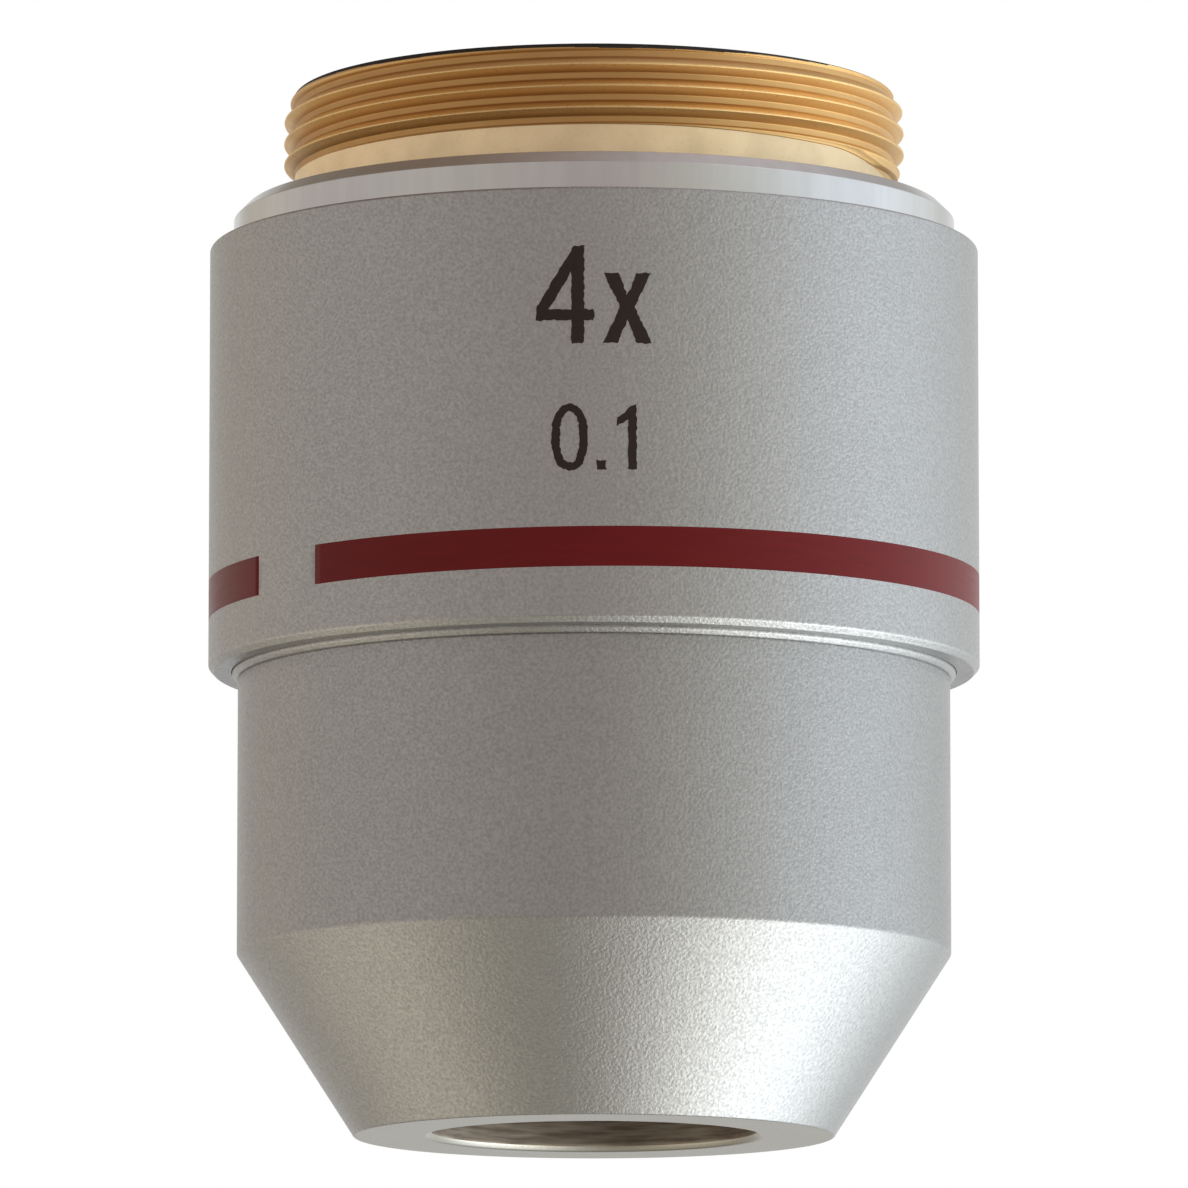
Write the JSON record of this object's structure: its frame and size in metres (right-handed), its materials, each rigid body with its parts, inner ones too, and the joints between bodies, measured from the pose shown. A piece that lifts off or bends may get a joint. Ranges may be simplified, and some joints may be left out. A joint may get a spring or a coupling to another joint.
{
  "type": "microscope objective",
  "caption": "Low-power microscope objective: brass screw thread, bright shoulder ring, matte sleeve with a red band and a coned nose, holding cemented lenses in cells.",
  "frame": {"origin": "centre of the flat front face, on the optical axis", "axes": "+Z along the optical axis, from the front face up to the screw thread; -Y is the side that faces the viewer, with the gap of the colour band to its left"},
  "size_m": [0.025, 0.025, 0.034],
  "materials": {
    "bare_brass": "turned, bare",
    "bright_chrome": "turned smooth, bright plated",
    "satin_chrome": "fine blasted, matte plated",
    "red_paint": "matte paint",
    "blackened_brass": "blackened, matte",
    "shim_steel": "rolled",
    "crown_glass": "polished, coated",
    "flint_glass": "polished, coated"
  },
  "bodies": {
    "root": {"thread_mount": "bare_brass", "main_body": "bright_chrome", "outer_sleeve": "satin_chrome", "colour_band": "red_paint", "nose_cone": "satin_chrome", "inner_barrel": "blackened_brass", "parfocal_shim": "shim_steel", "front_cell": "blackened_brass", "front_crown_lens": "crown_glass", "front_flint_lens": "flint_glass", "front_lens_ring": "blackened_brass", "front_spacer": "blackened_brass", "middle_cell": "blackened_brass", "middle_lens": "flint_glass", "middle_lens_ring": "blackened_brass", "aperture_stop": "blackened_brass", "rear_spacer": "blackened_brass", "rear_cell": "blackened_brass", "rear_flint_lens": "flint_glass", "rear_crown_lens": "crown_glass", "rear_lens_ring": "blackened_brass", "stack_ring": "blackened_brass"}
  },
  "joints": []
}
